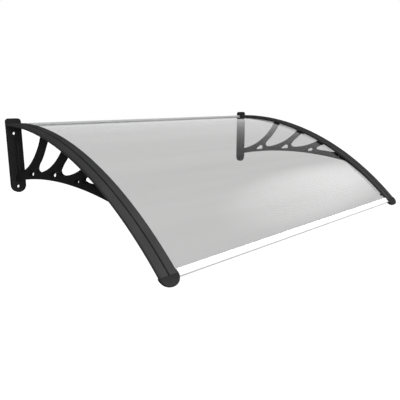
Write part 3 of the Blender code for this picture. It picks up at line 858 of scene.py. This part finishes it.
@dataclass
class Brackets:
    """The two black moulded wall brackets and the screw through each nose."""

    arch: Arch
    finishes: Finishes
    nose_radius: float = 27.5 * MM
    nose_centre: float = 2.2 * MM
    port_along: float = 7.8 * MM
    port_down: float = 8.0 * MM
    sink: float = 10.0 * MM
    bite: float = 12.0 * MM
    gap: float = 0.3 * MM
    nose_back: float = 4.0 * MM

    def paint_light_on_nose(self, moulding: bpy.types.Object) -> None:
        """Give the nose its coarser grain and its paler colour, which is painted light.

        A face belongs to it where its middle is less than `nose_back` behind the end of the arch,
        measured along the arch's last direction.
        """
        faces = moulding.data.polygons
        middles = np.empty(3 * len(faces))
        faces.foreach_get("center", middles)
        y, z = self.arch.points(np.array(self.arch.nose_angle), np.array(0.0))
        past = ((float(y) - middles[1::3]) * math.cos(self.arch.nose_angle)
                + (float(z) - middles[2::3]) * math.sin(self.arch.nose_angle))
        second_finish(moulding, self.finishes.nose, past > -self.nose_back)

    def screw_frame(self, side: Side) -> Matrix:
        """Frame on the bracket's centre plane with Z along the screw, towards the bar."""
        y, z = self.arch.points(np.array(self.arch.nose_angle), np.array(self.port_down))
        y -= self.port_along * math.cos(self.arch.nose_angle)
        z -= self.port_along * math.sin(self.arch.nose_angle)
        turn = Matrix.Rotation(-side.value * math.pi / 2, 4, "Y")
        return Matrix.Translation((side.value * self.arch.span / 2, float(y), float(z))) @ turn

    def build(self, side: Side) -> None:
        """Make one bracket's skin and its nose screw."""
        moulding = merged_copy(f"bracket_{side.word}", f"moulded_bracket_{side.word}")
        dress(moulding, self.finishes.bracket, f"bracket_{side.word}")
        # The nose gets the paler ABS: painted light.
        self.paint_light_on_nose(moulding)
        wide = math.sqrt(self.nose_radius ** 2 - (self.port_along - self.nose_centre) ** 2)
        screw = PanScrew(seat=self.sink - wide - self.gap,
                         tip=self.nose_radius + self.gap + self.bite).shell()
        piece = make_piece(f"nose_screw_{side.word}",
                           [Shell(placed(screw.points, self.screw_frame(side)), screw.faces)])
        dress(piece, self.finishes.screw, f"bar_screw_{side.word}")


@dataclass
class EdgeBars:
    """The bright front and rear bars, and the rubber seal between rear bar and wall."""

    finishes: Finishes
    lip_facing: float = -0.6

    def paint_shade_on_lip(self, bar: bpy.types.Object) -> None:
        """Give the faces that look forwards and down the darker, duller aluminium: painted shade on
        the bar's lower lip.

        A face belongs to it where its normal's Y and Z are both below `lip_facing`.
        """
        faces = bar.data.polygons
        normals = np.empty(3 * len(faces))
        faces.foreach_get("normal", normals)
        # Faces turned forwards and down get the darker aluminium: painted shade.
        lip = (normals.reshape(-1, 3)[:, 1:] < self.lip_facing).all(axis=1)
        second_finish(bar, self.finishes.shaded_bar, lip)

    def build(self) -> None:
        """Make the skins of both bars and the seal."""
        front = merged_copy("front_bar", "anodised_front_bar")
        dress(front, self.finishes.bar, "front_bar")
        self.paint_shade_on_lip(front)
        # The rear bar takes the darker aluminium too: painted shade.
        dress(merged_copy("rear_bar", "extruded_rear_bar"), self.finishes.shaded_bar,
              "rear_bar")
        dress(merged_copy("wall_seal", "rubber_wall_seal"), self.finishes.rubber,
              "wall_seal")


@dataclass
class Studio:
    """Camera at the photograph's angle, one broad soft lamp, pale floor and white surroundings.

    A soft box at the right shows only as a pale bloom in what is glossy.
    """

    camera_place: tuple[float, float, float] = (-1.15087, -1.47765, 0.08263)
    camera_turn: float = math.radians(-44.17431)
    camera_fall: float = math.radians(12.54081)
    lens_mm: float = 40.604
    sensor_mm: float = 36.0
    lamp_from: tuple[float, float, float] = (-0.14, -0.96, 0.23)
    lamp_strength: float = 3.6
    lamp_softness: float = math.radians(40)
    ambient: float = 0.22
    box_from: tuple[float, float, float] = (0.82, -0.06, 0.57)
    box_spread: float = math.radians(12)
    box_gain: float = 6.9
    floor_drop: float = 2.10
    floor_reach: float = 40.0
    floor_colour: str = "#F4F4F3"
    floor_grain_mm: float = 30.0
    floor_glow: float = 0.64

    def camera(self) -> None:
        """Set up the camera."""
        data = bpy.data.cameras.new("photo_camera")
        data.lens = self.lens_mm
        data.sensor_width = self.sensor_mm
        data.clip_start = 0.01
        data.clip_end = 200.0
        camera = bpy.data.objects.new("photo_camera", data)
        camera.location = self.camera_place
        camera.rotation_euler = (math.pi / 2 - self.camera_fall, 0.0, self.camera_turn)
        bpy.context.scene.collection.objects.link(camera)
        bpy.context.scene.camera = camera

    def lamp(self) -> None:
        """Set up the soft lamp, in front of the canopy and above it."""
        data = bpy.data.lights.new("soft_lamp", "SUN")
        data.energy = self.lamp_strength
        data.angle = self.lamp_softness
        lamp = bpy.data.objects.new("soft_lamp", data)
        lamp.rotation_euler = (-Vector(self.lamp_from)).to_track_quat("-Z", "Y").to_euler()
        lamp.visible_glossy = False
        lamp.visible_transmission = False
        bpy.context.scene.collection.objects.link(lamp)

    @staticmethod
    def seen_directly(tree: bpy.types.NodeTree) -> bpy.types.NodeSocket:
        """One for rays from the camera, a mirror or glass, and zero for the rest."""
        path = add_node(tree, "ShaderNodeLightPath")
        gloss = add_node(tree, "ShaderNodeMath", {"operation": "MAXIMUM"},
                         {0: path.outputs["Is Camera Ray"], 1: path.outputs["Is Glossy Ray"]})
        return add_node(tree, "ShaderNodeMath", {"operation": "MAXIMUM"},
                        {0: gloss.outputs[0], 1: path.outputs["Is Transmission Ray"]}).outputs[0]

    def soft_box(self, tree: bpy.types.NodeTree) -> bpy.types.NodeSocket:
        """Brightness of the surroundings: one, and more for mirrored rays near the soft box.

        The extra is gain x smoothstep of the cosine to the box's middle, zero past its spread.
        Rays through the sheet count as glossy too, so they are taken off.
        """
        cosine = add_node(tree, "ShaderNodeVectorMath",
                          {"operation": "DOT_PRODUCT", 1: Vector(self.box_from).normalized()},
                          {0: add_node(tree, "ShaderNodeTexCoord").outputs["Generated"]})
        extra = add_node(tree, "ShaderNodeMapRange",
                         {"interpolation_type": "SMOOTHSTEP", "To Max": self.box_gain,
                          "From Min": math.cos(self.box_spread), "From Max": 1.0},
                         {"Value": cosine.outputs["Value"]})
        path = add_node(tree, "ShaderNodeLightPath")
        mirrored = add_node(tree, "ShaderNodeMath", {"operation": "SUBTRACT", "use_clamp": True},
                            {0: path.outputs["Is Glossy Ray"],
                             1: path.outputs["Is Transmission Ray"]})
        return add_node(tree, "ShaderNodeMath", {"operation": "MULTIPLY_ADD", 2: 1.0},
                        {0: extra.outputs[0], 1: mirrored.outputs[0]}).outputs[0]

    def surroundings(self) -> None:
        """White world where it is seen, and a low even light where it only lights the object."""
        world = bpy.data.worlds.new("white_studio")
        world.use_nodes = True
        tree = world.node_tree
        tree.nodes.clear()
        light = add_node(tree, "ShaderNodeBackground", {"Strength": self.ambient})
        shown = add_node(tree, "ShaderNodeBackground", {}, {"Strength": self.soft_box(tree)})
        light.inputs["Color"].default_value = (1, 1, 1, 1)
        shown.inputs["Color"].default_value = (1, 1, 1, 1)
        mix = add_node(tree, "ShaderNodeMixShader", {},
                       {0: self.seen_directly(tree), 1: light.outputs[0], 2: shown.outputs[0]})
        add_node(tree, "ShaderNodeOutputWorld", {}, {"Surface": mix.outputs[0]})
        bpy.context.scene.world = world

    def floor(self) -> None:
        """Pale floor under the canopy, about as far down as a doorway is high."""
        material, tree, shader = new_principled("pale_floor")
        grain = add_node(tree, "ShaderNodeTexNoise",
                         {"Scale": per_metre(self.floor_grain_mm), "Detail": 2.0},
                         {"Vector": add_node(tree, "ShaderNodeTexCoord").outputs["Object"]})
        glow = add_node(tree, "ShaderNodeMath", {"operation": "MULTIPLY", 1: self.floor_glow},
                        {0: self.seen_directly(tree)})
        dull = add_node(tree, "ShaderNodeMapRange", {"To Min": 0.85, "To Max": 0.95},
                        {"Value": grain.outputs[0]})
        set_node(tree, shader,
                 {"Base Color": linear(self.floor_colour), "Specular IOR Level": 0.0,
                  "Emission Color": linear("#FFFFFF")},
                 {"Emission Strength": glow.outputs[0], "Roughness": dull.outputs[0]})
        low = CAD_BOX[0][2] - self.floor_drop
        reach = self.floor_reach
        mesh = bpy.data.meshes.new("floor")
        mesh.from_pydata([(-reach, -reach, low), (reach, -reach, low), (reach, reach, low),
                          (-reach, reach, low)], [], [(0, 1, 2, 3)])
        mesh.materials.append(material)
        floor = bpy.data.objects.new("floor", mesh)
        bpy.context.scene.collection.objects.link(floor)

    def build(self) -> None:
        """Set the stage and the view settings."""
        self.camera()
        self.lamp()
        self.surroundings()
        self.floor()
        bpy.context.scene.view_settings.view_transform = "Standard"


def main() -> None:
    """Build the canopy piece by piece, then the studio."""
    logging.basicConfig(level=logging.INFO, format="%(message)s")
    arch = Arch()
    finishes = Finishes()
    screws = StripScrews()
    brackets = Brackets(arch, finishes)
    strips = PressStrips(arch, finishes, screws)
    for side in Side:
        brackets.build(side)
        strips.build(side)
    ClearSheet(arch, finishes, screws).build()
    EdgeBars(finishes).build()
    Studio().build()


if __name__ == "__main__":
    main()
